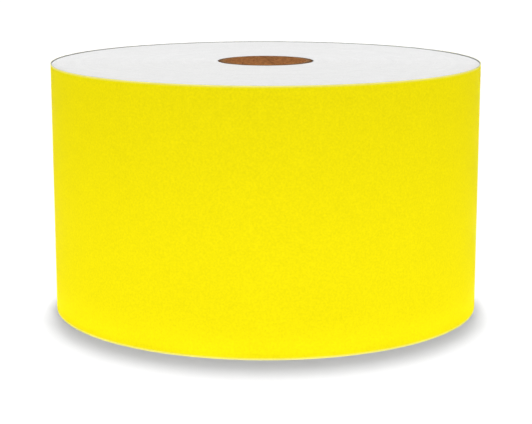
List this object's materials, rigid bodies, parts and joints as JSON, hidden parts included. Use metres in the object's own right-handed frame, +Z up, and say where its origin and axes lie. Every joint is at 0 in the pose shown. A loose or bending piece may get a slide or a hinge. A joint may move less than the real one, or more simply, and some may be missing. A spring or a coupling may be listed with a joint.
{
  "type": "roll of sign vinyl",
  "caption": "Roll of yellow adhesive sign vinyl on a paper liner, wound film side out on a kraft core, with a free end that lifts, peels and carries a closing tab.",
  "frame": {"origin": "on the core's axis, at the roll's lower end face, which it stands on", "axes": "+Z up along the core's axis; +Y towards the back, where the web's free end is; +X to the right seen from the front"},
  "size_m": [0.1317, 0.1318, 0.0762],
  "materials": {
    "film": "satin",
    "adhesive": "gloss",
    "liner": "satin",
    "web_edge": "matte",
    "kraft": "matte",
    "tape": "satin"
  },
  "bodies": {
    "roll": {"core_ply_1": "kraft", "core_ply_2": "kraft", "core_ply_3": "kraft", "core_ply_4": "kraft", "core_start_tape": "tape", "wound_web": "web_edge", "outer_turn_film": "film", "outer_turn_adhesive": "adhesive", "outer_turn_liner": "liner"},
    "free_end_1": {"free_end_1_film": "film", "free_end_1_adhesive": "adhesive", "free_end_1_liner": "liner"},
    "free_end_2": {"free_end_2_film": "film", "free_end_2_adhesive": "adhesive", "free_end_2_liner": "liner"},
    "free_end_3": {"free_end_3_film": "film", "free_end_3_adhesive": "adhesive", "free_end_3_liner": "liner"},
    "free_end_4": {"free_end_4_film": "film", "free_end_4_adhesive": "adhesive", "free_end_4_liner": "liner"},
    "peel_tip": {"peel_tip_film": "film", "peel_tip_adhesive": "adhesive", "closing_tab_base": "tape"},
    "tab_flap": {"closing_tab_flap": "tape"}
  },
  "joints": [
    {"name": "free_end_lift", "type": "hinge", "parent": "roll", "child": "free_end_1", "pos_m": [0.05712, 0.03298, 0.0381], "axis": [0, 0, -1], "range_deg": [0, 20], "stiffness_Nm_per_rad": 0.006},
    {"name": "free_end_bend_2", "type": "hinge", "parent": "free_end_1", "child": "free_end_2", "pos_m": [0.04241, 0.05054, 0.0381], "axis": [0, 0, -1], "range_deg": [0, 20]},
    {"name": "free_end_bend_3", "type": "hinge", "parent": "free_end_2", "child": "free_end_3", "pos_m": [0.02257, 0.06201, 0.0381], "axis": [0, 0, -1], "range_deg": [0, 20]},
    {"name": "free_end_bend_4", "type": "hinge", "parent": "free_end_3", "child": "free_end_4", "pos_m": [0, 0.06601, 0.0381], "axis": [0, 0, -1], "range_deg": [0, 20]},
    {"name": "film_peel", "type": "hinge", "parent": "free_end_4", "child": "peel_tip", "pos_m": [-0.01709, 0.06377, 0.0381], "axis": [0, 0, -1], "range_deg": [0, 135]},
    {"name": "tab_peel", "type": "hinge", "parent": "peel_tip", "child": "tab_flap", "pos_m": [-0.03306, 0.05726, 0.0381], "axis": [0, 0, -1], "range_deg": [0, 90]}
  ],
  "couplings": [
    {"joint": "free_end_bend_2", "follows": "free_end_lift", "ratio": 1},
    {"joint": "free_end_bend_3", "follows": "free_end_lift", "ratio": 1},
    {"joint": "free_end_bend_4", "follows": "free_end_lift", "ratio": 1}
  ]
}
